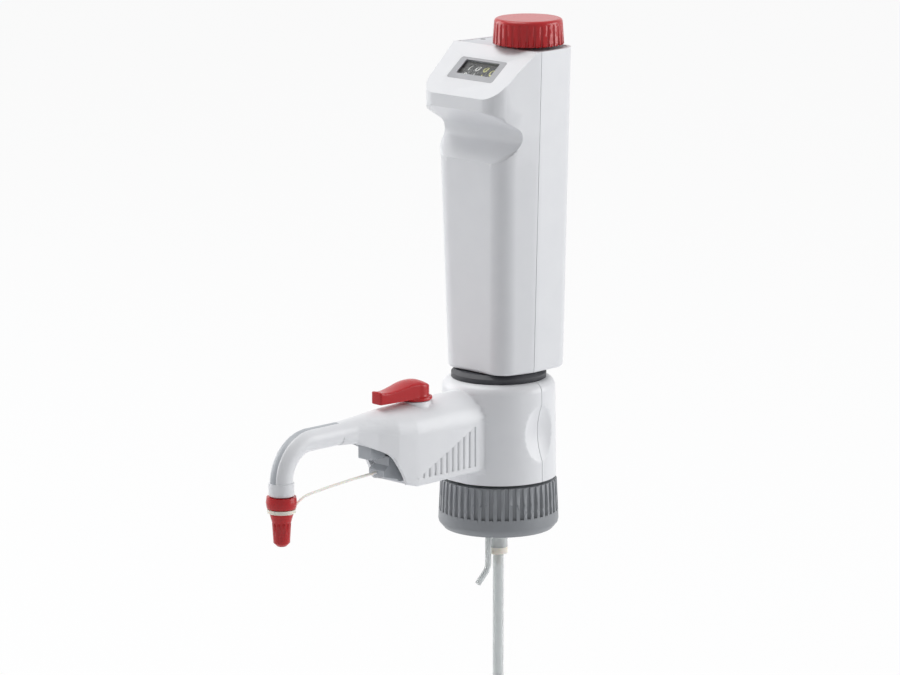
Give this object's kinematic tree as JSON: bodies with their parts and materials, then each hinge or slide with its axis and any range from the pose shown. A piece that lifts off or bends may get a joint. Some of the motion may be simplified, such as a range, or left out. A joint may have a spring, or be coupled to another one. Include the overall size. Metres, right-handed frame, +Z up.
{
  "type": "bottle-top dispenser",
  "caption": "Hand-operated piston dispenser that screws on a lab bottle: lift handle, volume knob with counter, spout arm with recirculation lever and tethered closure cap.",
  "frame": {"origin": "centre of the bottle's rim, where the mouth seal's underside sits", "axes": "+Z up along the piston, -Y the front where the spout points, +X to the right seen from the front"},
  "size_m": [0.0538, 0.1669, 0.4085],
  "materials": {
    "housing_plastic": "smooth moulded, pale cool grey-white",
    "plate_plastic": "fine matt moulded, slightly greyer",
    "red_plastic": "glossy moulded red",
    "collar_plastic": "satin moulded mid grey",
    "dark_plastic": "satin dark grey",
    "strip_plastic": "satin light grey",
    "clip_plastic": "cream fluoropolymer",
    "seal": "white soft fluoropolymer",
    "block_plastic": "machined fluoropolymer, dull white",
    "glass": "clear borosilicate",
    "sleeve_plastic": "smooth translucent",
    "lens": "clear window",
    "tube_plastic": "translucent fluoropolymer",
    "ceramic": "ground technical ceramic",
    "steel": "turned stainless steel",
    "gear_plastic": "moulded acetal",
    "frame_plastic": "moulded grey",
    "drum_plastic": "matt black with printed digits"
  },
  "bodies": {
    "collar": {"thread_collar": "collar_plastic"},
    "block": {"valve_block": "block_plastic", "block_front_cover": "housing_plastic", "block_rear_cover": "housing_plastic", "mouth_seal": "seal", "glass_cylinder": "glass", "cylinder_sleeve": "sleeve_plastic", "stop_ring": "sleeve_plastic", "cylinder_nut": "dark_plastic", "filling_valve": "block_plastic", "filling_valve_seat": "clip_plastic", "upper_filling_tube": "tube_plastic", "recirculation_tube": "tube_plastic", "vent_cap": "dark_plastic", "cover_screws": "steel", "arm_shell": "housing_plastic", "discharge_tube": "tube_plastic", "discharge_union_nut": "clip_plastic", "valve_body": "block_plastic", "discharge_spring": "steel", "spout_inset": "strip_plastic", "spout_nozzle": "strip_plastic", "strap_holder": "strip_plastic", "tube_clip": "clip_plastic", "cap_strap": "tube_plastic"},
    "filling_ball": {"filling_ball": "ceramic"},
    "discharge_ball": {"discharge_ball": "ceramic"},
    "lever": {"lever": "red_plastic", "valve_plug": "block_plastic", "plug_seal": "seal"},
    "cap": {"closure_cap": "red_plastic", "strap_loop": "clip_plastic"},
    "lower_tube": {"lower_filling_tube": "tube_plastic"},
    "handle": {"front_housing": "housing_plastic", "rear_housing": "housing_plastic", "top_plate": "plate_plastic", "adjust_plug": "dark_plastic", "display_bezel": "dark_plastic", "display_lens": "lens", "counter_frame": "frame_plastic", "piston": "ceramic", "piston_rod": "steel", "piston_seal": "seal", "rod_clamp": "frame_plastic", "housing_screws": "steel", "guide_bush": "frame_plastic"},
    "knob": {"volume_knob": "red_plastic", "knob_shaft": "steel", "drive_gear": "gear_plastic", "crown_gear": "gear_plastic"},
    "spindle": {"volume_spindle": "steel", "spindle_gear": "gear_plastic"},
    "carriage": {"stop_carriage": "gear_plastic"},
    "lay_shaft": {"lay_shaft": "steel", "lay_gear": "gear_plastic"},
    "hundredths": {"drum_hundredths": "drum_plastic", "drum_gear": "gear_plastic"},
    "tenths": {"drum_tenths": "drum_plastic"},
    "ones": {"drum_ones": "drum_plastic"},
    "tens": {"drum_tens": "drum_plastic"}
  },
  "joints": [
    {"name": "collar_turn", "type": "hinge", "parent": "block", "child": "collar", "pos_m": [0, 0, 0], "axis": [0, 0, 1], "continuous": true},
    {"name": "handle_lift", "type": "slide", "parent": "block", "child": "handle", "axis": [0, 0, 1], "range_m": [0, 0.06056]},
    {"name": "volume_knob_turn", "type": "hinge", "parent": "handle", "child": "knob", "pos_m": [0.009, 0.009, 0.2023], "axis": [0, 0, -1], "range_deg": [0, 6480]},
    {"name": "spindle_turn", "type": "hinge", "parent": "handle", "child": "spindle", "pos_m": [-0.0078, 0.0132, 0.12], "axis": [0, 0, 1], "range_deg": [0, 9000]},
    {"name": "carriage_slide", "type": "slide", "parent": "handle", "child": "carriage", "axis": [0, 0, 1], "range_m": [0, 0.0545]},
    {"name": "lay_shaft_turn", "type": "hinge", "parent": "handle", "child": "lay_shaft", "pos_m": [0, 0.009, 0.18424], "axis": [-1, 0, 0], "range_deg": [0, 19440]},
    {"name": "hundredths_turn", "type": "hinge", "parent": "handle", "child": "hundredths", "pos_m": [0, -0.00682, 0.18424], "axis": [1, 0, 0], "range_deg": [0, 32400]},
    {"name": "tenths_turn", "type": "hinge", "parent": "handle", "child": "tenths", "pos_m": [0, -0.00682, 0.18424], "axis": [1, 0, 0], "range_deg": [0, 3240]},
    {"name": "ones_turn", "type": "hinge", "parent": "handle", "child": "ones", "pos_m": [0, -0.00682, 0.18424], "axis": [1, 0, 0], "range_deg": [0, 324]},
    {"name": "tens_turn", "type": "hinge", "parent": "handle", "child": "tens", "pos_m": [0, -0.00682, 0.18424], "axis": [1, 0, 0], "range_deg": [0, 32.4]},
    {"name": "lever_turn", "type": "hinge", "parent": "block", "child": "lever", "pos_m": [0, -0.0525, 0.05], "axis": [0, 0, 1], "range_deg": [0, 90]},
    {"name": "cap_pull", "type": "slide", "parent": "block", "child": "cap", "axis": [0, 0, -1], "range_m": [0, 0.014]},
    {"name": "lower_tube_slide", "type": "slide", "parent": "block", "child": "lower_tube", "axis": [0, 0, -1], "range_m": [-0.05, 0.035]},
    {"name": "filling_ball_lift", "type": "slide", "parent": "block", "child": "filling_ball", "axis": [0, 0, 1], "range_m": [0, 0.0009]},
    {"name": "discharge_ball_lift", "type": "slide", "parent": "block", "child": "discharge_ball", "axis": [0, -1, 0], "range_m": [0, 0.0006], "stiffness_N_per_m": 20}
  ],
  "couplings": [
    {"joint": "spindle_turn", "follows": "volume_knob_turn", "ratio": 1.3889},
    {"joint": "carriage_slide", "follows": "volume_knob_turn", "m_per_rad": 0.0004819},
    {"joint": "lay_shaft_turn", "follows": "volume_knob_turn", "ratio": 3},
    {"joint": "hundredths_turn", "follows": "volume_knob_turn", "ratio": 5},
    {"joint": "tenths_turn", "follows": "volume_knob_turn", "ratio": 0.5},
    {"joint": "ones_turn", "follows": "volume_knob_turn", "ratio": 0.05},
    {"joint": "tens_turn", "follows": "volume_knob_turn", "ratio": 0.005}
  ]
}
